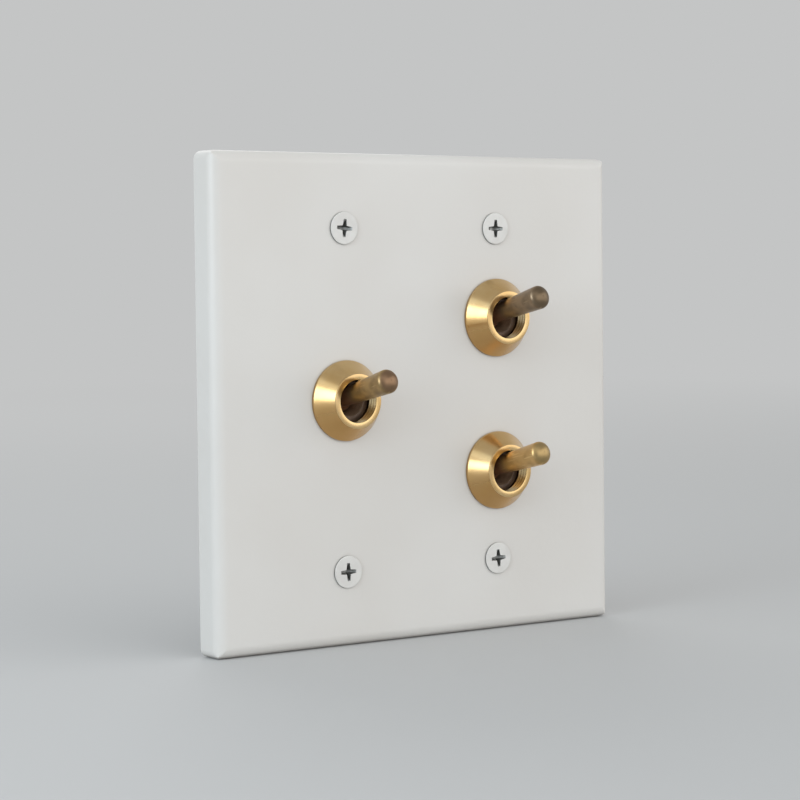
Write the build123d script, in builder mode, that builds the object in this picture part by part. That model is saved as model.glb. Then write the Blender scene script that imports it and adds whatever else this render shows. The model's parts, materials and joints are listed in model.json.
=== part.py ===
from build123d import *

import os
from math import cos, radians, sin, sqrt, tan

# A two-gang wall plate with three bat-lever toggle switches. Millimetres, +Z up, the front faces -Y.
# The origin is the plate's centre on the plane of its rear rim, and "out" is the distance from that plane.

# Wall plate, pressed from sheet
plate_width = 120.0
plate_height = 120.0
plate_depth = 8.0
sheet = 1.2
corner_radius = 2.1
edge_radius = 2.9
bushing_hole_clearance = 0.2

# Plate screws, countersunk with a cross recess
screw_pitch_x = 46.0
screw_pitch_z = 83.5
screw_head_radius = 3.95
screw_lip = 0.4
screw_stand = 0.5
screw_edge_round = 0.2
screw_neck_radius = 1.7
screw_neck_length = 0.9
screw_thread_radius = 2.0
screw_thread_length = 15.0
screw_point = 0.6
screw_seat_clearance = 0.03
screw_hole_radius = 2.3
recess_span = 4.4
recess_slot = 0.9
recess_depth = 1.5
recess_taper = 10.0

# Where the three switches stand on the plate
column_x = 23.0
pair_half_pitch = 19.3

# Bezel nut, bushing, back nut and lock washer
thread_radius = 5.55
thread_depth = 0.35
thread_clearance = 0.05
nut_base_radius = 9.8
nut_rim = 0.8
nut_height = 5.6
nut_top_land = 1.05
nut_lip = 0.3
nut_chamfer = 0.25
nut_mouth_clearance = 0.1
washer_thickness = 0.7
washer_clearance = 0.25
washer_band = 1.5
washer_tooth_length = 1.0
washer_tooth_root = 0.2
washer_tooth_width = 1.3
washer_tooth_count = 12
back_nut_thickness = 2.2
back_nut_wall = 1.9
back_nut_chamfer = 0.4
back_nut_corner_drop = 0.6
thread_left_bare = 2.4
bushing_length = 8.5
bushing_chamfer = 0.35
bushing_cone_length = 3.0
stake_inset = 0.95
stake_lip = 0.5
stake_thickness = 0.4
flare = 0.5

# Bat lever, its pin, plunger and spring
pivot_rise = 2.9
lever_tilt = 13.5
lever_length = 23.6
lever_tip_radius = 2.93
lever_end_radius = 4.0
lever_shoulder = 1.2
lever_neck_radius = 2.15
lever_ball_radius = 3.2
lever_running_clearance = 0.1
lever_tail_radius = 2.1
lever_tail_length = 8.0
lever_tail_chamfer = 0.25
pin_radius = 0.8
pin_inset = 0.35
pin_clearance = 0.05
pin_seat_clearance = 0.02
plunger_bore_radius = 1.25
plunger_bore_roof = 0.75
plunger_stem_clearance = 0.08
plunger_stem_length = 3.5
plunger_stroke = 0.6
plunger_stop_gap = 0.1
plunger_head_radius = 1.9
plunger_head_length = 3.4
plunger_tip_radius = 1.4
spring_wire_radius = 0.17
spring_clearance = 0.12
spring_turns = 3.5
spring_end_gap = 0.05

# Rocker, contacts and terminals
rocker_swing = 8.0
rocker_arm = 9.4
rocker_width = 6.2
rocker_thickness = 0.9
rocker_ear = 0.6
rocker_ear_drop = 0.35
rocker_ear_length = 3.0
rocker_valley_round = 0.8
rocker_groove_depth = 1.15
plunger_tip_clearance = 0.25
contact_radius = 1.4
contact_height = 0.7
contact_reach = 8.0
contact_gap = 0.22
fixed_contact_height = 0.8
fixed_contact_dome = 0.3
strip = 1.0
strip_bend = 1.2
blade_width = 6.0
blade_length = 10.5
blade_corner = 1.2
shelf_length = 4.6
post_clearance = 0.06
ear_clearance = 0.1
shoulder_width = 8.4
shoulder_height = 0.6
terminal_screw_radius = 1.5
terminal_screw_head_radius = 2.8
terminal_screw_head_height = 1.9
terminal_screw_length = 4.0
terminal_screw_drop = 5.6
terminal_screw_slot = 0.8
terminal_screw_slot_depth = 0.9
terminal_screw_clearance = 0.04
terminal_screw_round = 0.5

# Moulded case and the steel frame folded round it
case_wall_side = 2.4
case_wall_end = 2.0
case_corner = 1.2
case_floor = 3.2
case_side_room = 2.4
case_end_room = 1.6
slot_clearance = 0.1
barrier_thickness = 1.4
barrier_height = 4.6
barrier_width = 9.0
frame_sheet = 0.8
frame_bend = 1.3
frame_overhang = 0.6
frame_corner = 1.5
frame_fit = 0.05
frame_flange_depth = 6.0
frame_flange_length = 22.0
frame_tab_width = 4.0
frame_tab_pitch = 15.0
frame_tab_fold = 2.6

# Views to sketch in: sketch x is right in the first two and up in the third
front_view = Plane(origin=(0, 0, 0), x_dir=(1, 0, 0), z_dir=(0, -1, 0))
section = Plane(origin=(0, 0, 0), x_dir=(1, 0, 0), z_dir=(0, 0, -1))
side_view = Plane(origin=(0, 0, 0), x_dir=(0, 0, 1), z_dir=(1, 0, 0))
outward = Axis((0, 0, 0), (0, -1, 0))

switch_places = {
    "left": (-column_x, 0.0),
    "upper": (column_x, pair_half_pitch),
    "lower": (column_x, -pair_half_pitch),
}
screw_places = [
    (side * screw_pitch_x / 2, 0, level * screw_pitch_z / 2) for side in (-1, 1) for level in (-1, 1)
]

# The countersink's radius at the plate's face, round a head that stands a little proud
screw_seat_radius = screw_head_radius - (screw_stand - screw_lip) + screw_seat_clearance

# How far out the pieces that are stacked on the plate's sheet lie
sheet_back = plate_depth - sheet
washer_back = sheet_back - washer_thickness
back_nut_back = washer_back - back_nut_thickness
frame_top = back_nut_back - thread_left_bare
frame_under = frame_top - frame_sheet
bushing_front = frame_top + bushing_length
pivot_out = frame_top + pivot_rise
nut_bore_radius = thread_radius + thread_clearance
nut_mouth_radius = thread_radius - thread_depth
nut_top_radius = nut_bore_radius + nut_top_land
nut_front = plate_depth + nut_height

# The lever's own plane: sketch y runs along the lever towards its tip
tilt = radians(lever_tilt)
lever_plane = Plane(origin=(0, -pivot_out, 0), x_dir=(0, sin(tilt), cos(tilt)), z_dir=(1, 0, 0))
lever_axis = Axis(lever_plane.origin, lever_plane.y_dir)
neck_start = sqrt(lever_ball_radius**2 - lever_neck_radius**2)
tail_start = sqrt(lever_ball_radius**2 - lever_tail_radius**2)
end_centre = lever_length - lever_end_radius
shoulder_in = lever_tip_radius - lever_shoulder
shoulder_rise = sqrt((lever_end_radius - lever_shoulder) ** 2 - shoulder_in**2)
shoulder_start = end_centre + shoulder_rise
end_scale = lever_end_radius / (lever_end_radius - lever_shoulder)
shoulder_end = (end_scale * shoulder_in, end_centre + end_scale * shoulder_rise)
bat_slope = (lever_tip_radius - lever_neck_radius) / (shoulder_start - neck_start)
lever_reach_in_mouth = (bushing_front - pivot_out) / cos(tilt)
lever_radius_in_mouth = lever_neck_radius + bat_slope * (lever_reach_in_mouth - neck_start)
bushing_bore_radius = lever_ball_radius + lever_running_clearance
mouth_radius = (
    (bushing_front - pivot_out) * tan(tilt) + lever_radius_in_mouth / cos(tilt) + lever_running_clearance
)
plunger_bore_top = pin_radius + pin_clearance + plunger_bore_roof
plunger_shoulder = lever_tail_length + plunger_stroke + plunger_stop_gap
plunger_stem_top = plunger_shoulder - plunger_stem_length
plunger_reach = plunger_shoulder + plunger_head_length + plunger_tip_radius

# The rocker's own plane, at rest with its lower arm pressed in: sketch x runs along the arms
swing = radians(rocker_swing)
vee = swing + tilt / 2
valley_out = pivot_out - plunger_reach - plunger_tip_clearance
rocker_out = valley_out - rocker_groove_depth
rocker_plane = Plane(origin=(0, -rocker_out, 0), x_dir=(0, -sin(swing), cos(swing)), z_dir=(1, 0, 0))
arm_drop = rocker_thickness / cos(vee)
post_radius = strip / 2
arm_under_contact = rocker_groove_depth + contact_reach * tan(vee) - arm_drop
closed_contact = rocker_plane.from_local_coords(
    (-contact_reach - contact_height * sin(vee), arm_under_contact - contact_height * cos(vee), 0)
)
contact_height_up = abs(closed_contact.Z)
fixed_contact_top = -closed_contact.Y - contact_gap
shelf_top = fixed_contact_top - fixed_contact_height
floor_out = shelf_top - strip

# The case is as large as what moves and stands in it
cavity_half_width = rocker_width / 2 + case_side_room
cavity_half_length = rocker_arm + case_end_room
case_half_width = cavity_half_width + case_wall_side
case_half_length = cavity_half_length + case_wall_end
case_back = floor_out - case_floor
blade_place = contact_height_up + shelf_length / 2 - strip / 2
terminal_screw_out = case_back - terminal_screw_drop


def rolled_block(width, height, depth, corner, roll):
    """A block whose front edges are rolled and meet in mitres at its corners."""
    with BuildPart() as block:
        with BuildSketch(front_view):
            RectangleRounded(width, height, corner)
        extrude(amount=depth)
        for view, span, run in ((section, width, height), (side_view, height, width)):
            with BuildSketch(view):
                with BuildLine():
                    FilletPolyline(
                        (-span / 2, 0), (-span / 2, depth), (span / 2, depth), (span / 2, 0), radius=roll
                    )
                    Line((span / 2, 0), (-span / 2, 0))
                make_face()
            extrude(amount=run / 2, both=True, mode=Mode.INTERSECT)
    return block.part


plate_outside = rolled_block(plate_width, plate_height, plate_depth, corner_radius, edge_radius)
plate_inside = rolled_block(
    plate_width - 2 * sheet,
    plate_height - 2 * sheet,
    sheet_back,
    corner_radius - sheet,
    edge_radius - sheet,
)

with BuildPart() as wall_plate:
    add(plate_outside)
    add(plate_inside, mode=Mode.SUBTRACT)
    with BuildSketch(front_view.offset(plate_depth)):
        with Locations(*switch_places.values()):
            Circle(thread_radius + bushing_hole_clearance)
    extrude(amount=-sheet, mode=Mode.SUBTRACT)
    with Locations(front_view.offset(plate_depth)):
        with GridLocations(screw_pitch_x, screw_pitch_z, 2, 2):
            CounterSinkHole(
                radius=screw_hole_radius,
                counter_sink_radius=screw_seat_radius,
                depth=sheet,
                counter_sink_angle=90,
            )

head_top = plate_depth + screw_stand
cone_top = head_top - screw_lip
cone_end = cone_top - (screw_head_radius - screw_neck_radius)
thread_start = cone_end - screw_neck_length
thread_end = thread_start - screw_thread_length

with BuildPart() as plate_screw:
    with BuildSketch(section):
        with BuildLine():
            Polyline(
                (0, head_top),
                (screw_head_radius - screw_edge_round, head_top),
                (screw_head_radius, head_top - screw_edge_round),
                (screw_head_radius, cone_top),
                (screw_neck_radius, cone_end),
                (screw_neck_radius, thread_start),
                (screw_thread_radius, thread_start),
                (screw_thread_radius, thread_end + screw_point),
                (screw_thread_radius - screw_point, thread_end),
                (0, thread_end),
                close=True,
            )
        make_face()
    revolve(axis=outward)
    with BuildSketch(front_view.offset(head_top)):
        Rectangle(recess_span, recess_slot)
        Rectangle(recess_slot, recess_span)
    extrude(amount=-recess_depth, taper=recess_taper, mode=Mode.SUBTRACT)

with BuildPart() as plate_screws:
    with Locations(*screw_places):
        add(plate_screw.part)

with BuildPart() as bezel_nut:
    with BuildSketch(section):
        with BuildLine():
            Polyline(
                (nut_bore_radius, plate_depth),
                (nut_base_radius, plate_depth),
                (nut_base_radius, plate_depth + nut_rim),
                (nut_top_radius, nut_front - nut_lip),
                (nut_top_radius, nut_front - nut_chamfer / 2),
                (nut_top_radius - nut_chamfer / 2, nut_front),
                (nut_mouth_radius + nut_chamfer / 2, nut_front),
                (nut_mouth_radius, nut_front - nut_chamfer / 2),
                (nut_mouth_radius, bushing_front + nut_mouth_clearance),
                (nut_bore_radius, bushing_front + nut_mouth_clearance),
                close=True,
            )
        make_face()
    revolve(axis=outward)

washer_bore_radius = thread_radius + washer_clearance
washer_band_radius = washer_bore_radius + washer_tooth_length
tooth_with_root = washer_tooth_length + washer_tooth_root

with BuildPart() as lock_washer:
    with BuildSketch(front_view.offset(washer_back)):
        Circle(washer_band_radius + washer_band)
        Circle(washer_band_radius, mode=Mode.SUBTRACT)
        with PolarLocations(washer_bore_radius + tooth_with_root / 2, washer_tooth_count):
            Rectangle(tooth_with_root, washer_tooth_width)
    extrude(amount=washer_thickness)

back_nut_flat_radius = thread_radius + back_nut_wall
back_nut_corner_radius = back_nut_flat_radius / cos(radians(30))

with BuildPart() as back_nut:
    with BuildSketch(front_view.offset(back_nut_back)):
        RegularPolygon(back_nut_flat_radius, 6, major_radius=False)
    extrude(amount=back_nut_thickness)
    with BuildSketch(section):
        with BuildLine():
            Polyline(
                (nut_bore_radius, back_nut_back + back_nut_chamfer),
                (nut_bore_radius + back_nut_chamfer, back_nut_back),
                (back_nut_flat_radius, back_nut_back),
                (back_nut_corner_radius, back_nut_back + back_nut_corner_drop),
                (back_nut_corner_radius, washer_back - back_nut_corner_drop),
                (back_nut_flat_radius, washer_back),
                (nut_bore_radius + back_nut_chamfer, washer_back),
                (nut_bore_radius, washer_back - back_nut_chamfer),
                close=True,
            )
        make_face()
    revolve(axis=outward, mode=Mode.INTERSECT)

with BuildPart() as bushing:
    with BuildSketch(section):
        with BuildLine():
            Polyline(
                (bushing_bore_radius + flare, frame_under - stake_thickness),
                (thread_radius - stake_inset + stake_lip, frame_under - stake_thickness),
                (thread_radius - stake_inset + stake_lip, frame_under),
                (thread_radius - stake_inset, frame_under),
                (thread_radius - stake_inset, frame_top),
                (thread_radius, frame_top),
                (thread_radius, bushing_front - bushing_chamfer),
                (thread_radius - bushing_chamfer, bushing_front),
                (mouth_radius, bushing_front),
                (bushing_bore_radius, bushing_front - bushing_cone_length),
                (bushing_bore_radius, frame_under - stake_thickness + flare),
                close=True,
            )
        make_face()
    revolve(axis=outward)
    with BuildSketch(side_view):
        with Locations((0, pivot_out)):
            Circle(pin_radius + pin_seat_clearance)
    extrude(amount=2 * thread_radius, both=True, mode=Mode.SUBTRACT)

with BuildPart() as pivot_pin:
    with BuildSketch(side_view):
        with Locations((0, pivot_out)):
            Circle(pin_radius)
    extrude(amount=thread_radius - pin_inset, both=True)

with BuildPart() as lever:
    with BuildSketch(lever_plane):
        with BuildLine():
            Polyline(
                (0, lever_length),
                (0, -plunger_bore_top),
                (plunger_bore_radius, -plunger_bore_top),
                (plunger_bore_radius, -lever_tail_length),
                (lever_tail_radius - lever_tail_chamfer, -lever_tail_length),
                (lever_tail_radius, -lever_tail_length + lever_tail_chamfer),
                (lever_tail_radius, -tail_start),
            )
            ThreePointArc(
                (lever_tail_radius, -tail_start), (lever_ball_radius, 0), (lever_neck_radius, neck_start)
            )
            Line((lever_neck_radius, neck_start), (lever_tip_radius, shoulder_start))
            TangentArc((lever_tip_radius, shoulder_start), shoulder_end, tangent=(bat_slope, 1))
            TangentArc((0, lever_length), shoulder_end, tangent=(1, 0))
        make_face()
    revolve(axis=lever_axis)
    with BuildSketch(side_view):
        with Locations((0, pivot_out)):
            Circle(pin_radius + pin_clearance)
    extrude(amount=lever_ball_radius, both=True, mode=Mode.SUBTRACT)

with BuildPart() as plunger:
    with BuildSketch(lever_plane):
        with BuildLine():
            Polyline(
                (0, -plunger_reach),
                (0, -plunger_stem_top),
                (plunger_bore_radius - plunger_stem_clearance, -plunger_stem_top),
                (plunger_bore_radius - plunger_stem_clearance, -plunger_shoulder),
                (plunger_head_radius, -plunger_shoulder),
                (plunger_head_radius, -plunger_shoulder - plunger_head_length / 2),
                (plunger_tip_radius, -plunger_shoulder - plunger_head_length),
            )
            RadiusArc(
                (plunger_tip_radius, -plunger_shoulder - plunger_head_length),
                (0, -plunger_reach),
                plunger_tip_radius,
            )
        make_face()
    revolve(axis=lever_axis)

spring_radius = plunger_bore_radius - spring_clearance - spring_wire_radius
spring_low = -plunger_stem_top + spring_end_gap + spring_wire_radius
spring_high = -plunger_bore_top - spring_end_gap - spring_wire_radius

with BuildPart() as plunger_spring:
    with BuildLine() as coil:
        Helix(
            pitch=(spring_high - spring_low) / spring_turns,
            height=spring_high - spring_low,
            radius=spring_radius,
            center=lever_plane.from_local_coords((0, spring_low, 0)),
            direction=lever_plane.y_dir,
        )
    with BuildSketch(Plane(origin=coil.line @ 0, z_dir=coil.line % 0)):
        RegularPolygon(spring_wire_radius, 6)
    sweep(path=coil.line, is_frenet=True)

with BuildPart() as steel_frame:
    flange_x = case_half_width + frame_fit + frame_sheet
    fold_out = case_back - frame_fit - frame_sheet
    with BuildSketch(front_view.offset(frame_under)):
        RectangleRounded(
            2 * (case_half_width + frame_fit), 2 * (case_half_length + frame_overhang), frame_corner
        )
    extrude(amount=frame_sheet)
    with BuildSketch(section):
        with BuildLine():
            FilletPolyline(
                (-flange_x, frame_top - frame_flange_depth),
                (-flange_x, frame_top),
                (flange_x, frame_top),
                (flange_x, frame_top - frame_flange_depth),
                radius=frame_bend,
            )
            offset(amount=frame_sheet, side=Side.RIGHT)
        make_face()
    extrude(amount=frame_flange_length / 2, both=True)
    for level in (-1, 1):
        with BuildSketch(section.offset(level * frame_tab_pitch / 2)):
            with BuildLine():
                FilletPolyline(
                    (-flange_x + frame_tab_fold, fold_out),
                    (-flange_x, fold_out),
                    (-flange_x, frame_top),
                    (flange_x, frame_top),
                    (flange_x, fold_out),
                    (flange_x - frame_tab_fold, fold_out),
                    radius=frame_bend,
                )
                offset(amount=frame_sheet, side=Side.RIGHT)
            make_face()
        extrude(amount=frame_tab_width / 2, both=True)
    with BuildSketch(front_view.offset(frame_top)):
        Circle(thread_radius - stake_inset + frame_fit)
    extrude(amount=-frame_sheet, mode=Mode.SUBTRACT)

with BuildPart() as switch_case:
    with BuildSketch(front_view.offset(case_back)):
        RectangleRounded(2 * case_half_width, 2 * case_half_length, case_corner)
    extrude(amount=frame_under - case_back)
    chamfer(switch_case.faces().filter_by(Axis.Y).edges(), length=frame_bend - frame_sheet + frame_fit)
    with BuildSketch(front_view.offset(frame_under)):
        RectangleRounded(2 * cavity_half_width, 2 * cavity_half_length, case_corner)
    extrude(amount=floor_out - frame_under, mode=Mode.SUBTRACT)
    with BuildSketch(front_view.offset(floor_out)):
        with Locations((0, -blade_place), (0, 0), (0, blade_place)):
            Rectangle(blade_width + 2 * slot_clearance, strip + 2 * slot_clearance)
    extrude(amount=-case_floor, mode=Mode.SUBTRACT)
    with BuildSketch(front_view.offset(case_back)):
        with Locations((0, -blade_place / 2), (0, blade_place / 2)):
            Rectangle(barrier_width, barrier_thickness)
    extrude(amount=-barrier_height)

with BuildPart() as rocker:
    with BuildSketch(rocker_plane):
        arm_rise = rocker_groove_depth + rocker_arm * tan(vee)
        with BuildLine():
            Polyline(
                (-rocker_arm, arm_rise),
                (0, rocker_groove_depth),
                (rocker_arm, arm_rise),
                (rocker_arm, arm_rise - arm_drop),
                (0, rocker_groove_depth - arm_drop),
                (-rocker_arm, arm_rise - arm_drop),
                close=True,
            )
        make_face()
        Circle(post_radius + post_clearance, mode=Mode.SUBTRACT)
    extrude(amount=rocker_width / 2, both=True)
    valley = rocker_plane.from_local_coords((0, rocker_groove_depth, 0))
    fillet(rocker.edges().filter_by(Axis.X).sort_by_distance(valley)[0], radius=rocker_valley_round)
    for side in (-1, 1):
        with BuildSketch(rocker_plane.offset(side * (rocker_width - rocker_ear) / 2)):
            with BuildLine():
                Polyline(
                    (-rocker_ear_length, rocker_groove_depth + rocker_ear_length * tan(vee) - arm_drop / 2),
                    (0, rocker_groove_depth - arm_drop / 2),
                    (rocker_ear_length, rocker_groove_depth + rocker_ear_length * tan(vee) - arm_drop / 2),
                    (rocker_ear_length / 2, -rocker_ear_drop),
                    (-rocker_ear_length / 2, -rocker_ear_drop),
                    close=True,
                )
            make_face()
        extrude(amount=rocker_ear / 2, both=True)

with BuildPart() as moving_contacts:
    for side in (-1, 1):
        seat = rocker_plane.from_local_coords((side * contact_reach, arm_under_contact, 0))
        face_reach = contact_reach + contact_height * sin(vee)
        face_rise = arm_under_contact - contact_height * cos(vee)
        face = rocker_plane.from_local_coords((side * face_reach, face_rise, 0))
        with BuildSketch(Plane(origin=seat, x_dir=(1, 0, 0), z_dir=face - seat)):
            Circle(contact_radius)
        extrude(amount=contact_height)

with BuildPart() as fixed_contacts:
    for side in (-1, 1):
        with BuildSketch(front_view.offset(shelf_top)):
            with Locations((0, side * contact_height_up)):
                Circle(contact_radius)
        extrude(amount=fixed_contact_height)
    fillet(fixed_contacts.faces().group_by(outward)[-1].edges(), radius=fixed_contact_dome)

with BuildPart() as common_terminal:
    with BuildSketch(section):
        post_half_width = rocker_width / 2 - rocker_ear - ear_clearance
        with BuildLine():
            Polyline(
                (-post_half_width, rocker_out),
                (post_half_width, rocker_out),
                (post_half_width, floor_out + shoulder_height),
                (shoulder_width / 2, floor_out + shoulder_height),
                (shoulder_width / 2, floor_out),
                (blade_width / 2, floor_out),
                (blade_width / 2, case_back - blade_length + blade_corner),
                (blade_width / 2 - blade_corner, case_back - blade_length),
                (blade_corner - blade_width / 2, case_back - blade_length),
                (-blade_width / 2, case_back - blade_length + blade_corner),
                (-blade_width / 2, floor_out),
                (-shoulder_width / 2, floor_out),
                (-shoulder_width / 2, floor_out + shoulder_height),
                (-post_half_width, floor_out + shoulder_height),
                close=True,
            )
        make_face()
    extrude(amount=strip / 2, both=True)
    with BuildSketch(side_view):
        with Locations((0, rocker_out)):
            Circle(post_radius)
    extrude(amount=post_half_width, both=True)
    with BuildSketch(section):
        with Locations((0, terminal_screw_out)):
            Circle(terminal_screw_radius + terminal_screw_clearance)
    extrude(amount=strip, both=True, mode=Mode.SUBTRACT)

throw_terminals = {}
for name, side in (("first_terminal", 1), ("second_terminal", -1)):
    with BuildPart() as terminal:
        with BuildSketch(side_view):
            with BuildLine():
                FilletPolyline(
                    (side * (contact_height_up - shelf_length / 2), shelf_top),
                    (side * (blade_place + strip / 2), shelf_top),
                    (side * (blade_place + strip / 2), case_back - blade_length),
                    radius=strip_bend,
                )
                offset(amount=strip, side=Side.RIGHT if side > 0 else Side.LEFT)
            make_face()
        extrude(amount=blade_width / 2, both=True)
        blade_end = terminal.faces().sort_by(outward)[0]
        chamfer(blade_end.edges().filter_by(Axis.Z).sort_by(Axis.X), length=blade_corner)
        with BuildSketch(section.offset(-side * blade_place)):
            with Locations((0, terminal_screw_out)):
                Circle(terminal_screw_radius + terminal_screw_clearance)
        extrude(amount=strip, both=True, mode=Mode.SUBTRACT)
    throw_terminals[name] = terminal

with BuildPart() as terminal_screws:
    for level, facing in ((blade_place, 1), (0, 1), (-blade_place, -1)):
        under_head = level + facing * strip / 2
        screw_plane = Plane(
            origin=(0, -terminal_screw_out, under_head), x_dir=(1, 0, 0), z_dir=(0, 0, facing)
        )
        with BuildSketch(screw_plane):
            Circle(terminal_screw_radius)
        extrude(amount=-terminal_screw_length)
        with BuildSketch(screw_plane):
            Circle(terminal_screw_head_radius)
        extrude(amount=terminal_screw_head_height)
        head_face = terminal_screws.faces().sort_by(Axis((0, 0, 0), (0, 0, facing)))[-1]
        fillet(head_face.edges(), radius=terminal_screw_round)
        with BuildSketch(screw_plane.offset(terminal_screw_head_height)):
            Rectangle(2 * terminal_screw_head_radius, terminal_screw_slot)
        extrude(amount=-terminal_screw_slot_depth, mode=Mode.SUBTRACT)

switch_pieces = {
    "bezel_nut": bezel_nut,
    "lock_washer": lock_washer,
    "back_nut": back_nut,
    "bushing": bushing,
    "pivot_pin": pivot_pin,
    "lever": lever,
    "plunger": plunger,
    "plunger_spring": plunger_spring,
    "steel_frame": steel_frame,
    "switch_case": switch_case,
    "rocker": rocker,
    "moving_contacts": moving_contacts,
    "fixed_contacts": fixed_contacts,
    "common_terminal": common_terminal,
    **throw_terminals,
    "terminal_screws": terminal_screws,
}

os.makedirs("parts", exist_ok=True)
wall_plate.part.label = "wall_plate"
export_step(wall_plate.part, "parts/wall_plate.step")
plate_screws.part.label = "plate_screws"
export_step(plate_screws.part, "parts/plate_screws.step")

# The switch above stands on the plate's centre, and each of the three is a copy in its place
for place, (x, z) in switch_places.items():
    for piece, built in switch_pieces.items():
        placed = built.part.moved(Location((x, 0, z)))
        placed.label = f"{place}_{piece}"
        export_step(placed, f"parts/{placed.label}.step")
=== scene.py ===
import json
import math

import bmesh
import bpy
from mathutils import Matrix, Vector


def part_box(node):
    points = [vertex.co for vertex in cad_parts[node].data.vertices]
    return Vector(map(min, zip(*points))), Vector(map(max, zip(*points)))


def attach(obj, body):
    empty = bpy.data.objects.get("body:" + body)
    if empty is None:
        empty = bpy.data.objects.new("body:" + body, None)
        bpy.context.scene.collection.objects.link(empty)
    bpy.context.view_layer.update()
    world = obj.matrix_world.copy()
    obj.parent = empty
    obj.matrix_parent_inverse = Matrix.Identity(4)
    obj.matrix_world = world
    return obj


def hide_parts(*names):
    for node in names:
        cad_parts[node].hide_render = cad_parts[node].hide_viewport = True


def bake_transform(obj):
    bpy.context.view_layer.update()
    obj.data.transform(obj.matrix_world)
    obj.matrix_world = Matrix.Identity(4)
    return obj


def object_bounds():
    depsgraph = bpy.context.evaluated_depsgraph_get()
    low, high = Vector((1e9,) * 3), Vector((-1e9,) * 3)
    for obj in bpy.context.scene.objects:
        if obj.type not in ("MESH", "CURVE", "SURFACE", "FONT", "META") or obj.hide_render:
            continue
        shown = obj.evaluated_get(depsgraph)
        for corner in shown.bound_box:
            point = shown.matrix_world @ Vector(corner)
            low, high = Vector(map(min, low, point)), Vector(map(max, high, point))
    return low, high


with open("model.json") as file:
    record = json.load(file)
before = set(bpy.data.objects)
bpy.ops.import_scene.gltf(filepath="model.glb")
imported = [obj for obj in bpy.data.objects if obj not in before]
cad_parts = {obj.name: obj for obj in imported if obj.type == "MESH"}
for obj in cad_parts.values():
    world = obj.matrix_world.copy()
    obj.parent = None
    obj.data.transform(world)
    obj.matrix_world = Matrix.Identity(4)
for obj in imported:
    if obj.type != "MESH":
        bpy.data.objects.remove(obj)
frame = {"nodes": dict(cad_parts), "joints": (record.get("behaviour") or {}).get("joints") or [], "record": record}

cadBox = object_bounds()
mm = 0.001
nearly = 0.01  # millimetres: a point this close to a face counts as on it
switchNames = ("left", "upper", "lower")
slotOf = {part["node"]: part["material_slot"] for part in frame["record"]["subparts"]}
jointOf = {joint["name"]: joint for joint in frame["joints"]}

# Turned and pressed pieces are built in millimetres with z out of the plate's front, then put in the frame
outOfPlate = Matrix.Rotation(math.radians(90), 4, "X") @ Matrix.Scale(mm, 4)


def axisOf(node):
    low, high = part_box(node)
    return Matrix.Translation(((low.x + high.x) / 2, 0, (low.z + high.z) / 2))


def leverTurn(name):  # turns z to point along the lever, towards its tip
    return Vector((0, 0, 1)).rotation_difference(Vector(jointOf[name + "_plunger_stroke"]["axis"]))


def leverPivot(name):
    return Vector(jointOf[name + "_lever_toggle"]["pos_m"])


def shade(red, green, blue):  # screen values to the linear colour that a socket takes
    def linear(value):
        value /= 255
        return value / 12.92 if value <= 0.04045 else ((value + 0.055) / 1.055) ** 2.4

    return (linear(red), linear(green), linear(blue), 1.0)


# Mesh tools


def turned(bm, outline, steps):
    ring = [bm.verts.new((radius, 0, out)) for radius, out in outline]
    sides = [bm.edges.new(pair) for pair in zip(ring, ring[1:])]
    bmesh.ops.spin(
        bm, geom=ring + sides, cent=(0, 0, 0), axis=(0, 0, 1), angle=math.tau, steps=steps, use_merge=True
    )
    bmesh.ops.remove_doubles(bm, verts=bm.verts, dist=nearly / 100)


def arcPoints(centre, radius, start, end, count):
    angles = [math.radians(start + (end - start) * step / count) for step in range(count + 1)]
    return [(centre[0] + radius * math.cos(a), centre[1] + radius * math.sin(a)) for a in angles]


def roundEdges(bm, size, sharperThan, segments=3, pick=None):  # the angle in degrees
    edges = [
        edge
        for edge in bm.edges
        if edge.is_manifold
        and edge.calc_face_angle() > math.radians(sharperThan)
        and (pick is None or pick(edge))
    ]
    bmesh.ops.bevel(
        bm, geom=edges, offset=size, offset_type="OFFSET", segments=segments, profile=0.5,
        affect="EDGES", clamp_overlap=True, material=-1,
    )
    bmesh.ops.dissolve_degenerate(bm, edges=bm.edges, dist=size / 100)


def join(bm, other):
    mesh = bpy.data.meshes.new("joined")
    other.to_mesh(mesh)
    other.free()
    bm.from_mesh(mesh)
    bpy.data.meshes.remove(mesh)


# A thread's ridge: how deep its foot is sunk, in millimetres, and half its foot and crest, in pitches
ridgeShape = dict(sink=0.06, halfFoot=0.49, halfCrest=0.06)


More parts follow.
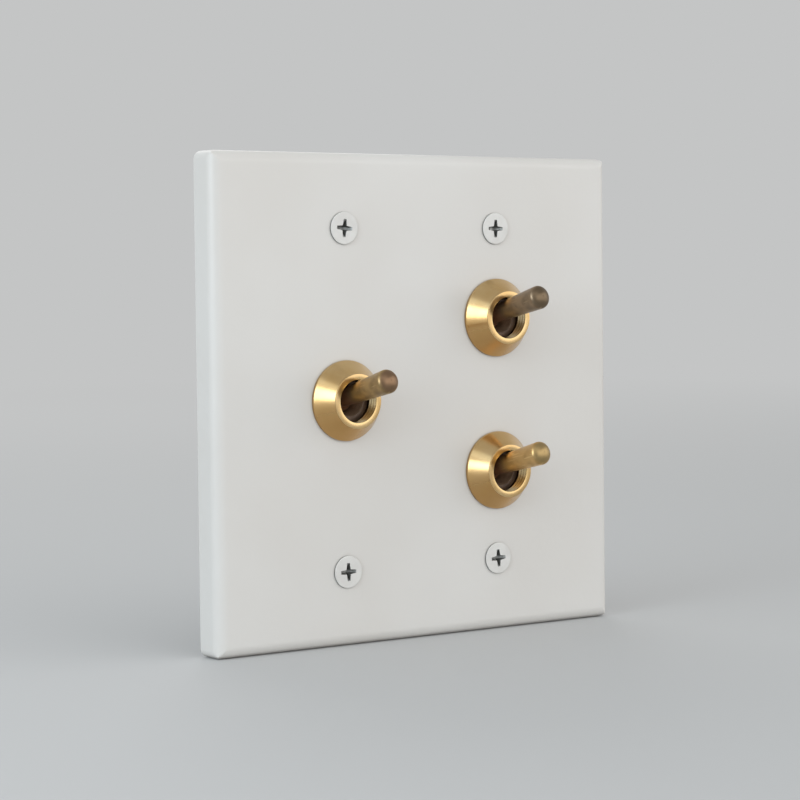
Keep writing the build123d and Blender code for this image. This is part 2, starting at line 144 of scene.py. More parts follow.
def addThread(bm, root, crest, pitch, low, high, steps, finish=0, place=None):
    # a vee ridge swept as a helix from half a pitch below, then cut square at both ends
    foot = root + math.copysign(ridgeShape["sink"], root - crest)
    outline = (
        (foot, -ridgeShape["halfFoot"]),
        (crest, -ridgeShape["halfCrest"]),
        (crest, ridgeShape["halfCrest"]),
        (foot, ridgeShape["halfFoot"]),
    )
    ridge = bmesh.new()
    ring = [ridge.verts.new((radius, 0, low + (along - 0.5) * pitch)) for radius, along in outline]
    sides = [ridge.edges.new((ring[i - 1], ring[i])) for i in range(len(ring))]
    turns = math.ceil((high - low) / pitch + 1)
    bmesh.ops.spin(
        ridge, geom=ring + sides, cent=(0, 0, 0), axis=(0, 0, 1), dvec=(0, 0, pitch / steps),
        angle=math.tau * turns, steps=steps * turns,
    )
    for level, way in ((low, -1), (high, 1)):
        bmesh.ops.bisect_plane(
            ridge, geom=ridge.verts[:] + ridge.edges[:] + ridge.faces[:], plane_co=(0, 0, level),
            plane_no=(0, 0, way), clear_outer=True,
        )
    bmesh.ops.holes_fill(ridge, edges=[edge for edge in ridge.edges if edge.is_boundary], sides=0)
    bmesh.ops.dissolve_degenerate(ridge, edges=ridge.edges, dist=pitch / 1000)
    bmesh.ops.recalc_face_normals(ridge, faces=ridge.faces)
    for face in ridge.faces:
        face.material_index = finish
    if place is not None:
        bmesh.ops.transform(ridge, matrix=place, verts=ridge.verts)
    join(bm, ridge)


def softened(node, size, flatWithin=0.5, sharperThan=30):
    # a copy of a solid in metres, its flat faces made whole and its sharp edges rounded; angles in degrees
    bm = bmesh.new()
    bm.from_mesh(frame["nodes"][node].data)
    bmesh.ops.remove_doubles(bm, verts=bm.verts, dist=mm / 1000)
    bmesh.ops.dissolve_limit(bm, angle_limit=math.radians(flatWithin), verts=bm.verts, edges=bm.edges)
    roundEdges(bm, size * mm, sharperThan)
    return bm


def finishPiece(node, bm, place, finishes, smoothUnder=32):  # the piece that stands for a node
    first, *rest = node.split("_")
    name = first + "".join(word.capitalize() for word in rest)
    bmesh.ops.transform(bm, matrix=place, verts=bm.verts)
    mesh = bpy.data.meshes.new(name)
    bm.to_mesh(mesh)
    bm.free()
    if "custom_normal" in mesh.attributes:
        mesh.attributes.remove(mesh.attributes["custom_normal"])
    for finish in finishes:
        mesh.materials.append(finish)
    mesh.shade_smooth()
    mesh.set_sharp_from_angle(angle=math.radians(smoothUnder))
    piece = bpy.data.objects.new(name, mesh)
    bpy.context.scene.collection.objects.link(piece)
    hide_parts(node)
    return piece


def fixToPlate(node, bm, place, finishes, smoothUnder=32):
    piece = finishPiece(node, bm, place, finishes, smoothUnder)
    flatter = piece.modifiers.new("flatFaces", "WEIGHTED_NORMAL")
    flatter.keep_sharp = True
    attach(piece, "plate")


# Shader tools


def addNode(tree, kind, sockets=None, **settings):
    node = tree.nodes.new(kind)
    for name, value in settings.items():
        setattr(node, name, value)
    for name, value in (sockets or {}).items():
        if isinstance(value, bpy.types.NodeSocket):
            tree.links.new(value, node.inputs[name])
        else:
            node.inputs[name].default_value = value
    return node


def partPoint(tree):  # the point that is shaded, in the part's own frame
    return addNode(tree, "ShaderNodeTexCoord").outputs["Object"]


def combined(tree, operation, first, second):
    return addNode(tree, "ShaderNodeMath", {0: first, 1: second}, operation=operation).outputs["Value"]


def ramp(tree, value, start, end, low=0.0, high=1.0, soft=False):  # low at start, high at end
    return addNode(
        tree, "ShaderNodeMapRange",
        {"Value": value, "From Min": start, "From Max": end, "To Min": low, "To Max": high},
        interpolation_type="SMOOTHSTEP" if soft else "LINEAR",
    ).outputs["Result"]


def newGroup(name, inputs, output):
    tree = bpy.data.node_groups.new(name, "ShaderNodeTree")
    for label, start in inputs.items():
        kind = "NodeSocketVector" if isinstance(start, tuple) else "NodeSocketFloat"
        tree.interface.new_socket(label, in_out="INPUT", socket_type=kind).default_value = start
    tree.interface.new_socket(output, in_out="OUTPUT", socket_type="NodeSocketFloat")
    return tree, tree.nodes.new("NodeGroupInput").outputs, tree.nodes.new("NodeGroupOutput").inputs


def newFinish(name, **sockets):
    finish = bpy.data.materials.new(name)
    finish.use_nodes = True
    shader = finish.node_tree.nodes["Principled BSDF"]
    for label, value in sockets.items():
        shader.inputs[label].default_value = value
    return finish, finish.node_tree, shader.inputs


def mottleGroup():  # soft patches: how much of the second look shows, from 0 to 1
    tree, given, out = newGroup(
        "mottle",
        {
            "Scale": 100.0, "Detail": 3.0, "Place": (0.0, 0.0, 0.0), "Turn": (0.0, 0.0, 0.0),
            "Stretch": (1.0, 1.0, 1.0), "Low": 0.3, "High": 0.7,
        },
        "Amount",
    )
    laid = addNode(
        tree, "ShaderNodeMapping",
        {
            "Vector": partPoint(tree), "Location": given["Place"], "Rotation": given["Turn"],
            "Scale": given["Stretch"],
        },
        vector_type="TEXTURE",
    )
    noise = addNode(
        tree, "ShaderNodeTexNoise",
        {"Vector": laid.outputs["Vector"], "Scale": given["Scale"], "Detail": given["Detail"]},
    )
    amount = ramp(tree, noise.outputs["Fac"], given["Low"], given["High"], soft=True)
    tree.links.new(amount, out["Amount"])
    return tree


def turningGroup():  # tool lines left by the lathe, which run round the axis out of the plate
    tree, given, out = newGroup(
        "turningLines", {"Lines per metre": 5000.0, "Wander": 0.4, "Rub scale": 220.0}, "Height"
    )
    where = partPoint(tree)
    reach = addNode(tree, "ShaderNodeSeparateXYZ", {"Vector": where}).outputs["Y"]
    along = addNode(
        tree, "ShaderNodeTexNoise", {"W": reach, "Scale": given["Lines per metre"], "Detail": 4.0},
        noise_dimensions="1D",
    )
    rubbed = addNode(
        tree, "ShaderNodeTexNoise", {"Vector": where, "Scale": given["Rub scale"], "Detail": 2.0}
    )
    faded = combined(tree, "MULTIPLY", rubbed.outputs["Fac"], given["Wander"])
    tree.links.new(combined(tree, "ADD", along.outputs["Fac"], faded), out["Height"])
    return tree


# painted shade: darkens the colour in corners, recesses and gaps between parts, by how sheltered they are
def cornerShadeGroup():  # 1 in corners and recesses, 0 on open faces
    tree, given, out = newGroup("grime", {"Reach": 0.001, "Low": 0.15, "High": 0.85}, "Amount")
    shelter = addNode(tree, "ShaderNodeAmbientOcclusion", {"Distance": given["Reach"]}, samples=8)
    amount = ramp(tree, shelter.outputs["AO"], given["Low"], given["High"], low=1.0, high=0.0)
    tree.links.new(amount, out["Amount"])
    return tree


def edgeWearGroup():  # 1 on outer edges, broken up, and 0 on faces
    tree, given, out = newGroup(
        "edgeWear", {"Reach": 0.0003, "Low": 0.1, "High": 0.3, "Break": 900.0}, "Amount"
    )
    within = addNode(
        tree, "ShaderNodeAmbientOcclusion", {"Distance": given["Reach"]}, samples=8, inside=True,
        only_local=True,
    )
    edge = combined(tree, "SUBTRACT", 1.0, within.outputs["AO"])
    noise = addNode(
        tree, "ShaderNodeTexNoise", {"Vector": partPoint(tree), "Scale": given["Break"], "Detail": 3.0}
    )
    ragged = combined(tree, "MULTIPLY", edge, noise.outputs["Fac"])
    tree.links.new(ramp(tree, ragged, given["Low"], given["High"], soft=True), out["Amount"])
    return tree


mottle = mottleGroup()
turningLines = turningGroup()
grime = cornerShadeGroup()
edgeWear = edgeWearGroup()


def patches(tree, **values):
    return addNode(tree, "ShaderNodeGroup", values, node_tree=mottle).outputs["Amount"]


def toolLines(tree, perMetre):
    return addNode(
        tree, "ShaderNodeGroup", {"Lines per metre": perMetre}, node_tree=turningLines
    ).outputs["Height"]


# mixes painted shade into corners and recesses, by how sheltered they are
def shadeInCorners(tree, amount, **values):
    mask = addNode(tree, "ShaderNodeGroup", values, node_tree=grime).outputs["Amount"]
    return combined(tree, "MULTIPLY", mask, amount)


def onEdges(tree, amount, **values):
    mask = addNode(tree, "ShaderNodeGroup", values, node_tree=edgeWear).outputs["Amount"]
    return combined(tree, "MULTIPLY", mask, amount)


def mixed(tree, amount, first, second):
    return addNode(
        tree, "ShaderNodeMixRGB", {"Fac": amount, "Color1": first, "Color2": second}
    ).outputs["Color"]


def between(tree, amount, low, high):
    return ramp(tree, amount, 0.0, 1.0, low, high)


def raised(tree, height, depth):
    return addNode(tree, "ShaderNodeBump", {"Height": height, "Distance": depth}).outputs["Normal"]


def enamelFinish(name, look):
    finish, tree, shader = newFinish(name)
    cloud = patches(tree, Scale=look["cloudScale"], Detail=2.0)
    colour = mixed(tree, cloud, look["colour"], look["warmer"])
    # painted shade in corners and round the parts that stand on the plate
    dirt = shadeInCorners(tree, look["dirt"], Reach=look["cornerShadeReach"], Low=0.25, High=0.8)
    colour = mixed(tree, dirt, colour, look["cornerShadeColour"])
    if look["chips"]:
        chips = onEdges(
            tree, look["chips"], Reach=look["chipReach"], Low=0.18, High=0.26, Break=look["chipScale"]
        )
        colour = mixed(tree, chips, colour, look["chipColour"])
    tree.links.new(colour, shader["Base Color"])
    sheen = patches(tree, Scale=look["cloudScale"] * look["sheenFiner"], Detail=4.0)
    tree.links.new(between(tree, sheen, *look["roughness"]), shader["Roughness"])
    peel = patches(tree, Scale=look["peelScale"], Detail=1.5, Low=0.2, High=0.8)
    tree.links.new(raised(tree, peel, look["peelDepth"]), shader["Normal"])
    return finish


enamelLook = dict(
    colour=shade(220, 218, 214), warmer=shade(216, 213, 208), cloudScale=22.0, sheenFiner=2.3,
    roughness=(0.285, 0.36), peelScale=650.0, peelDepth=0.000012, dirt=0.35, cornerShadeReach=0.0012,
    cornerShadeColour=shade(120, 112, 100), chips=0.0,
)
whiteEnamel = enamelFinish("whiteEnamel", enamelLook)
screwEnamel = enamelFinish(
    "screwEnamel",
    dict(
        enamelLook, colour=shade(222, 221, 217), warmer=shade(215, 213, 209), cloudScale=300.0, dirt=0.6,
        chips=0.9, chipReach=0.00035, chipScale=1100.0, chipColour=shade(70, 70, 68),
    ),
)


def panInsideFinish(look):  # bare zinc with white overspray towards the rim
    finish, tree, shader = newFinish("panInside")
    out = addNode(tree, "ShaderNodeSeparateXYZ", {"Vector": partPoint(tree)}).outputs["Y"]
    rim = ramp(tree, out, look["sprayTo"], look["sprayFrom"])
    drift = patches(tree, Scale=look["driftScale"], Detail=8.0, Low=0.25, High=0.75)
    spray = ramp(tree, combined(tree, "ADD", rim, drift), look["sprayThin"], look["sprayFull"], soft=True)
    spangle = patches(tree, Scale=look["spangleScale"], Detail=3.0)
    zinc = mixed(tree, spangle, look["zinc"], look["second"])
    # painted shade in the corners of the pan
    dirt = shadeInCorners(tree, look["dirt"], Reach=look["cornerShadeReach"])
    colour = mixed(tree, dirt, mixed(tree, spray, zinc, look["paint"]), look["cornerShadeColour"])
    tree.links.new(colour, shader["Base Color"])
    tree.links.new(between(tree, spray, *look["metallic"]), shader["Metallic"])
    tree.links.new(between(tree, spray, *look["roughness"]), shader["Roughness"])
    tree.links.new(raised(tree, drift, look["driftDepth"]), shader["Normal"])
    return finish


panInside = panInsideFinish(
    dict(
        zinc=shade(178, 180, 180), second=shade(160, 161, 158), spangleScale=130.0,
        paint=shade(212, 210, 205), sprayFrom=-0.0008, sprayTo=-0.0062, sprayThin=0.6, sprayFull=1.3,
        driftScale=90.0, driftDepth=0.00002, dirt=0.5, cornerShadeReach=0.003, cornerShadeColour=shade(92, 86, 76),
        metallic=(0.9, 0.0), roughness=(0.42, 0.6),
    )
)


def metalFinish(name, look):
    finish, tree, shader = newFinish(name, Metallic=look["metallic"])
    cloud = patches(tree, Scale=look["cloudScale"], Detail=4.0)
    colour = mixed(tree, cloud, look["colour"], look["second"])
    if look["polish"]:
        colour = mixed(tree, onEdges(tree, look["polish"]), colour, look["edgeColour"])
    # painted shade in corners and recesses
    dirt = shadeInCorners(tree, look["dirt"], Reach=look["cornerShadeReach"])
    tree.links.new(mixed(tree, dirt, colour, look["cornerShadeColour"]), shader["Base Color"])
    smear = patches(tree, Scale=look["cloudScale"] * look["smearFiner"], Detail=5.0)
    tree.links.new(between(tree, smear, *look["roughness"]), shader["Roughness"])
    grain = patches(tree, Scale=look["grainScale"], Detail=3.0, Low=0.2, High=0.8)
    tree.links.new(raised(tree, grain, look["grainDepth"]), shader["Normal"])
    return finish


brassEdge = shade(236, 208, 150)
metalLook = dict(
    cloudScale=120.0, smearFiner=1.7, dirt=0.6, cornerShadeReach=0.0009, cornerShadeColour=shade(52, 44, 34),
    grainScale=2500.0, grainDepth=0.000004, roughness=(0.28, 0.38), polish=0.5,
    edgeColour=shade(226, 226, 222), metallic=1.0,
)
metalLooks = dict(
    # bare steel for the screw recesses and the heads' sides, made dark to stand for painted shade and the shadow
    # gap there as well
    shadedBareSteel=dict(
        colour=shade(118, 119, 116), second=shade(88, 89, 86), cloudScale=900.0, polish=0.0, dirt=0.4,
        roughness=(0.35, 0.55), metallic=0.4,
    ),
    # a lighter steel for the recess floors: painted light where they face the lamps
    litSteel=dict(
        colour=shade(196, 197, 194), second=shade(132, 133, 130), cloudScale=700.0, polish=0.0, dirt=0.3,
        roughness=(0.3, 0.5), metallic=0.5,
    ),
    # the bushing's outside and land: a greasy brown nickel, darkened further as painted shade
    shadedGreasyNickel=dict(
        colour=shade(104, 82, 64), second=shade(78, 60, 46), cloudScale=500.0, polish=0.3, dirt=0.15,
        roughness=(0.32, 0.5), metallic=0.3, edgeColour=shade(150, 130, 104),
    ),
    zincSteel=dict(colour=shade(200, 201, 198), second=shade(184, 183, 172), roughness=(0.28, 0.45)),
    dullNickel=dict(
        colour=shade(158, 153, 143), second=shade(134, 127, 115), dirt=0.45, roughness=(0.3, 0.42),
        edgeColour=shade(190, 186, 176),
    ),
    # the bushing's bore and mouth: a lighter copy of the same nickel, as painted light
    litMouthNickel=dict(
        colour=shade(196, 172, 146), second=shade(168, 142, 116), cloudScale=500.0, dirt=0.1,
        roughness=(0.3, 0.42), metallic=0.35, edgeColour=shade(210, 190, 164),
    ),
    springSteel=dict(colour=shade(170, 170, 172), second=shade(150, 149, 148), cloudScale=400.0),
    terminalBrass=dict(
        colour=shade(214, 182, 122), second=shade(192, 152, 92), roughness=(0.28, 0.4), edgeColour=brassEdge
    ),
    copperAlloy=dict(
        colour=shade(214, 160, 120), second=shade(190, 132, 92), roughness=(0.28, 0.4),
        edgeColour=shade(236, 190, 156),
    ),
    silverContact=dict(colour=shade(226, 225, 220), second=shade(206, 203, 194), cloudScale=500.0),
)
metals = {name: metalFinish(name, dict(metalLook, **look)) for name, look in metalLooks.items()}


def turnedBrassFinish(name, look):
    finish, tree, shader = newFinish(name, Metallic=1.0)
    cloud = patches(tree, Scale=160.0, Detail=5.0)
    colour = mixed(tree, cloud, look["colour"], look["warmer"])
    # painted shade: the cone turns darker and browner towards its lower left, where it lies in shade; the same
    # mask also roughens it
    low = addNode(tree, "ShaderNodeAttribute", attribute_name="lowerLeftShade").outputs["Fac"]
    if look["lowerLeftShade"]:
        shadedSide = ramp(tree, low, 0.0, look["lowerLeftShadeFull"], high=look["lowerLeftShade"], soft=True)
        colour = mixed(tree, shadedSide, colour, look["lowerLeftShadeColour"])
    colour = mixed(tree, onEdges(tree, look["polish"]), colour, brassEdge)
    # painted shade in corners, at the foot of the lip and in the thread roots
    dirt = shadeInCorners(tree, look["dirt"], Reach=look["cornerShadeReach"], Low=look["cornerShadeFull"], High=0.95)
    tree.links.new(mixed(tree, dirt, colour, look["cornerShadeColour"]), shader["Base Color"])
    lines = toolLines(tree, look["linesPerMetre"])
    smooth = between(tree, lines, *look["roughness"])
    dull = ramp(tree, low, look["dullFrom"], look["dullTo"], high=look["dulling"])
    tree.links.new(combined(tree, "ADD", smooth, dull), shader["Roughness"])
    tree.links.new(raised(tree, lines, look["lineDepth"]), shader["Normal"])
    return finish


nutLook = dict(
    colour=shade(214, 184, 134), warmer=shade(208, 173, 118), polish=0.4, dirt=0.6, cornerShadeReach=0.0007,
    cornerShadeFull=0.2, cornerShadeColour=shade(96, 68, 36), lowerLeftShade=0.75, lowerLeftShadeFull=0.95,
    lowerLeftShadeColour=shade(204, 158, 98), dulling=0.16, dullFrom=0.74, dullTo=0.92, linesPerMetre=5000.0,
    roughness=(0.17, 0.27), lineDepth=0.0000009,
)
turnedBrass = turnedBrassFinish("turnedBrass", nutLook)
# the nut's thread in the mouth: a lighter, greyer copy of the nut's brass with more edge polish, painted light on
# the crests, and stronger painted shade in the roots
litThreadBrass = turnedBrassFinish(
    "litThreadBrass",
    dict(
        nutLook, colour=shade(220, 200, 162), warmer=shade(210, 186, 144), lowerLeftShade=0.0, polish=0.9, dirt=0.8,
        cornerShadeReach=0.0006, cornerShadeFull=0.4, cornerShadeColour=shade(74, 58, 38), roughness=(0.14, 0.24),
    ),
)


def agedBrassFinish(name, look):  # patterns run along the lever
    finish, tree, shader = newFinish(name + "AgedBrass")
    laid = dict(Place=leverPivot(name), Turn=tuple(leverTurn(name).to_euler()))
    brownTo = look["brownFrom"] + look["brownFade"]
    brown = patches(tree, Scale=240.0, Detail=5.0, Low=look["brownFrom"], High=brownTo, **laid)
    colour = mixed(tree, brown, look["colour"], look["brown"])
    streak = patches(
        tree, Scale=1500.0, Detail=3.0, Low=look["scuffFrom"], High=look["scuffFrom"] + look["scuffFade"],
        Stretch=(1, 1, 9), **laid,
    )
    colour = mixed(tree, streak, colour, look["scuff"])
    along = addNode(
        tree, "ShaderNodeMapping",
        {"Vector": partPoint(tree), "Location": laid["Place"], "Rotation": laid["Turn"]},
        vector_type="TEXTURE",
    )
    reach = addNode(tree, "ShaderNodeSeparateXYZ", {"Vector": along.outputs["Vector"]}).outputs["Z"]
    tip = ramp(tree, reach, look["tipFrom"] * mm, look["tipTo"] * mm)
    colour = mixed(tree, tip, colour, look["tipColour"])
    grease = ramp(tree, reach, look["greaseTo"] * mm, look["greaseFrom"] * mm, soft=True)
    colour = mixed(tree, grease, colour, look["greaseColour"])
    tree.links.new(between(tree, grease, *look["metallic"]), shader["Metallic"])
    # painted shade in corners and where the lever enters the bore
    dirt = shadeInCorners(tree, look["dirt"], Reach=look["cornerShadeReach"])
    tree.links.new(mixed(tree, dirt, colour, look["cornerShadeColour"]), shader["Base Color"])
    smear = patches(tree, Scale=420.0, Detail=5.0, Stretch=(1, 1, 4), **laid)
    tree.links.new(between(tree, smear, *look["roughness"]), shader["Roughness"])
    grain = patches(tree, Scale=3000.0, Detail=3.0, Low=0.2, High=0.8, Stretch=(1, 1, 6), **laid)
    tree.links.new(raised(tree, grain, look["grainDepth"]), shader["Normal"])
    return finish


# Places along the lever are in millimetres from its pivot
leverLook = dict(
    tipFrom=22.3, tipTo=22.9, brownFrom=0.38, brownFade=0.3, scuffFrom=0.62, scuffFade=0.1,
    greaseFrom=6.5, greaseTo=10.5, greaseColour=shade(142, 102, 74), metallic=(1.0, 0.35), dirt=0.3,
    cornerShadeReach=0.001, cornerShadeColour=shade(48, 34, 20), roughness=(0.28, 0.42), grainDepth=0.000006,
)
leverLooks = dict(
    left=dict(
        colour=shade(182, 154, 108), brown=shade(144, 120, 86), scuff=shade(194, 166, 120),
        tipColour=shade(134, 108, 84),
    ),
    upper=dict(
        colour=shade(156, 135, 110), brown=shade(126, 110, 91), scuff=shade(168, 148, 120),
        tipColour=shade(116, 100, 80),
    ),
    lower=dict(
        colour=shade(208, 172, 116), brown=shade(174, 138, 86), scuff=shade(222, 190, 134),
        tipColour=shade(166, 142, 98), brownFrom=0.46, scuffFrom=0.56,
    ),
)
agedBrass = {name: agedBrassFinish(name, dict(leverLook, **look)) for name, look in leverLooks.items()}


def mouldedFinish(name, look):
    finish, tree, shader = newFinish(name)
    cloud = patches(tree, Scale=look["cloudScale"], Detail=6.0, Low=0.3, High=0.75)
    colour = mixed(tree, cloud, look["colour"], look["second"])
    rubbed = onEdges(tree, look["polish"])
    tree.links.new(mixed(tree, rubbed, colour, look["edgeColour"]), shader["Base Color"])
    sheen = patches(tree, Scale=180.0, Detail=4.0)
    tree.links.new(between(tree, sheen, *look["roughness"]), shader["Roughness"])
    skin = patches(tree, Scale=1800.0, Detail=3.0, Low=0.2, High=0.8)
    tree.links.new(raised(tree, skin, look["skinDepth"]), shader["Normal"])
    return finish


phenolic = mouldedFinish(
    "phenolic",
    dict(
        colour=shade(46, 36, 31), second=shade(66, 47, 36), cloudScale=260.0, polish=0.4,
        edgeColour=shade(98, 76, 60), roughness=(0.3, 0.45), skinDepth=0.000008,
    ),
)
nylon = mouldedFinish(
    "nylon",
    dict(
        colour=shade(226, 220, 202), second=shade(214, 205, 182), cloudScale=500.0, polish=0.4,
        edgeColour=shade(232, 228, 214), roughness=(0.35, 0.5), skinDepth=0.000005,
    ),
)
finishOf = {
    "nickel_plate": metals["dullNickel"], "zinc_steel": metals["zincSteel"],
    "spring_steel": metals["springSteel"], "copper_alloy": metals["copperAlloy"],
    "silver_contact": metals["silverContact"], "terminal_brass": metals["terminalBrass"],
    "phenolic": phenolic, "nylon": nylon,
}
print("finishes ready")


# Wall plate: a pressed pan with rolled edges that meet in mitres, its front filled round the holes
plateLook = dict(
    sheet=1.2, cornerRadius=2.1, edgeRadius=2.9, rollSteps=12, cornerSteps=8, mitreRound=0.3, frontLoop=0.5,
    bushingHole=5.75, screwSeat=3.88, screwSeatBack=2.68, holeLoop=0.5, holeSteps=64,
)


def rolledLoops(depth, inset, corner, roll, look):
    # inset, corner radius and height of each loop, from the rim to the flat of the front
    loops = [(inset, corner, 0.0)]
    shrink = math.sqrt(2) / (math.sqrt(2) - 1)  # a corner's radius closes this much faster than its sides
    for step in range(look["rollSteps"] + 1):
        angle = math.pi / 2 * step / look["rollSteps"]
        drawn = roll * (1 - math.cos(angle))
        radius = max(look["mitreRound"], corner - drawn * shrink)
        loops.append((inset + drawn, radius, depth - roll + roll * math.sin(angle)))
    return loops + [(inset + roll + look["frontLoop"], look["mitreRound"], depth)]


def moveLoop(verts, size, before, after):
    # every vertex lies on a corner's bend, and keeps its share of that bend
    for vert in verts:
        for axis in (0, 1):
            reach = abs(vert.co[axis]) - size[axis] / 2 + before[0]
            bend = (reach + before[1]) / before[1]
            vert.co[axis] = math.copysign(size[axis] / 2 - after[0] - after[1] * (1 - bend), vert.co[axis])
        vert.co.z = after[2]


def fillFront(bm, rim, holes, height, look):
    for centre, radius in holes:
        rings = []
        for reach in (radius, radius + look["holeLoop"]):
            ring = bmesh.ops.create_circle(
                bm, segments=look["holeSteps"], radius=reach, matrix=Matrix.Translation((*centre, height))
            )["verts"]
            rings.append([edge for edge in bm.edges if edge.verts[0] in ring and edge.verts[1] in ring])
        bmesh.ops.bridge_loops(bm, edges=rings[0] + rings[1])
        rim = rim + rings[1]
    bmesh.ops.triangle_fill(bm, edges=rim, use_beauty=True, normal=(0, 0, 1))


def buildWallPlate(look):
    low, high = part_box("wall_plate")
    width, depth, height = (high - low) / mm
    size, sheet = (width, height), look["sheet"]
    holes = [(axisOf(name + "_bezel_nut"), look["bushingHole"], look["bushingHole"]) for name in switchNames]
    holes += [(place, look["screwSeat"], look["screwSeatBack"]) for place in screwPlaces()]
    holes = [((place.translation / mm).xz, front, back) for place, front, back in holes]
    inside = rolledLoops(depth - sheet, sheet, look["cornerRadius"] - sheet, look["edgeRadius"] - sheet, look)
    loops = inside[::-1] + rolledLoops(depth, 0.0, look["cornerRadius"], look["edgeRadius"], look)
    bm = bmesh.new()
    flat = Matrix.Diagonal((width - 2 * loops[0][0], height - 2 * loops[0][0], 1, 1))
    bmesh.ops.create_grid(
        bm, x_segments=1, y_segments=1, size=0.5, matrix=Matrix.Translation((0, 0, loops[0][2])) @ flat
    )
    bmesh.ops.bevel(
        bm, geom=bm.verts[:], offset=loops[0][1], offset_type="OFFSET", segments=look["cornerSteps"],
        profile=0.5, affect="VERTICES", material=-1,
    )
    bmesh.ops.delete(bm, geom=bm.faces[:], context="FACES_ONLY")
    backRim = edges = bm.edges[:]
    for before, after in zip(loops, loops[1:]):
        drawn = bmesh.ops.extrude_edge_only(bm, edges=edges)["geom"]
        moveLoop([item for item in drawn if isinstance(item, bmesh.types.BMVert)], size, before, after)
        edges = [item for item in drawn if isinstance(item, bmesh.types.BMEdge)]
        edges = [edge for edge in edges if edge.is_boundary]
    fillFront(bm, backRim, [(spot, back) for spot, front, back in holes], depth - sheet, look)
    fillFront(bm, edges, [(spot, front) for spot, front, back in holes], depth, look)
    for spot, front, back in holes:
        loops = [
            edge
            for edge in bm.edges
            if edge.is_boundary and all((v.co.xy - spot).length < front + nearly for v in edge.verts)
        ]
        bmesh.ops.bridge_loops(bm, edges=loops)
    bmesh.ops.recalc_face_normals(bm, faces=bm.faces)
    bare = 1  # its place in the list of finishes
    for face in bm.faces:
        if facesBack(face, size, depth, sheet):
            face.material_index = bare
    return bm


def facesBack(face, size, depth, sheet):  # on the inside of the pan
    middle = face.calc_center_median()
    drawn = min(size[axis] / 2 - abs(middle[axis]) for axis in (0, 1))
    return nearly < middle.z < depth - sheet + nearly and drawn > sheet - nearly


# Plate screws: painted heads with a cross recess, bare threads behind the plate
plateScrewLook = dict(
    headRadius=3.95, headTop=8.5, topBand=0.4, lip=0.4, edgeRound=0.18, roundSteps=5, steps=64,
    neckRadius=1.7, neckLength=0.9, neckTaper=0.1, threadRoot=1.55, threadRadius=2.0, pitch=0.8,
    threadSteps=48, point=0.6, recessSpan=4.4, recessCore=1.15, recessTip=0.75, recessDepth=1.9,
    wingDepth=0.75, coreShrink=0.6, tipShrink=0.74, recessRound=0.06, turns=(2, -5, 4, -1),
)


def screwPlaces():
    low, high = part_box("plate_screws")
    reach = (high - low) / 2 - Vector((1, 0, 1)) * plateScrewLook["headRadius"] * mm
    return [Matrix.Translation((x * reach.x, 0, z * reach.z)) for x in (-1, 1) for z in (-1, 1)]


def sinkRecess(bm, look):
    top, core = look["headTop"], look["recessCore"] / 2
    bmesh.ops.create_grid(bm, x_segments=1, y_segments=1, size=core, matrix=Matrix.Translation((0, 0, top)))
    for edge in bm.edges[:]:
        way = (edge.verts[0].co + edge.verts[1].co).xy.normalized()
        wing = bmesh.ops.extrude_edge_only(bm, edges=[edge])["geom"]
        for vert in (item for item in wing if isinstance(item, bmesh.types.BMVert)):
            across = vert.co.xy - way * core
            vert.co.xy = way * look["recessSpan"] / 2 + across * look["recessTip"] / look["recessCore"]
    cross = bm.faces[:]
    sunk = bmesh.ops.extrude_face_region(bm, geom=cross)["geom"]
    bmesh.ops.delete(bm, geom=cross, context="FACES")
    for vert in (item for item in sunk if isinstance(item, bmesh.types.BMVert)):
        atTip = vert.co.xy.length > 2 * core
        vert.co.xy *= look["tipShrink"] if atTip else look["coreShrink"]
        vert.co.z -= look["wingDepth"] if atTip else look["recessDepth"]


def buildPlateScrew(look):
    bm = bmesh.new()
    sinkRecess(bm, look)
    top, head, rounding = look["headTop"], look["headRadius"], look["edgeRound"]
    ringRadius = head - rounding - look["topBand"]
    bmesh.ops.create_circle(
        bm, segments=look["steps"], radius=ringRadius, matrix=Matrix.Translation((0, 0, top))
    )
    outline = [edge for edge in bm.edges if edge.is_boundary or edge.is_wire]
    bmesh.ops.triangle_fill(bm, edges=outline, use_beauty=True, normal=(0, 0, 1))
    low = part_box("plate_screws")[1].y / -mm
    coneTop = top - look["lip"]
    coneEnd = coneTop - (head - look["neckRadius"])
    threadStart = coneEnd - look["neckLength"]
    turned(
        bm,
        [(ringRadius, top)]
        + arcPoints((head - rounding, top - rounding), rounding, 90, 0, look["roundSteps"])
        + [
            (head, coneTop),
            (look["neckRadius"], coneEnd),
            (look["neckRadius"], threadStart + look["neckTaper"]),
            (look["threadRoot"], threadStart),
            (look["threadRoot"], low + look["point"]),
            (look["threadRoot"] - look["point"], low),
            (0, low),
        ],
        look["steps"],
    )
    bmesh.ops.recalc_face_normals(bm, faces=bm.faces)
    # recess walls and head sides get the dark steel, painted shade over bare steel; recess floors get the lighter
    # steel, painted light
    shadedBare, bare, litFloor = 1, 2, 3  # places in the list of finishes, after the paint
    for face in bm.faces:
        middle = face.calc_center_median()
        inRecess = middle.xy.length < look["recessSpan"] / 2 and coneEnd < middle.z < top - nearly
        onSide = middle.xy.length > head - nearly and middle.z < top - rounding
        # painted light: the outward-facing floor of the recess is lighter, as if lit
        if inRecess and face.normal.z > 0.5:  # the recess's floor, which faces outwards
            face.material_index = litFloor
        elif inRecess or onSide:
            face.material_index = shadedBare
        elif middle.z < coneTop:
            face.material_index = bare

    def onRecessRim(edge):
        return all(v.co.z > top - nearly and v.co.xy.length < ringRadius - nearly for v in edge.verts)

    roundEdges(bm, look["recessRound"], sharperThan=25, segments=2, pick=onRecessRim)
    addThread(
        bm, look["threadRoot"], look["threadRadius"], look["pitch"], low + look["point"], threadStart,
        look["threadSteps"], finish=bare,
    )
    return bm


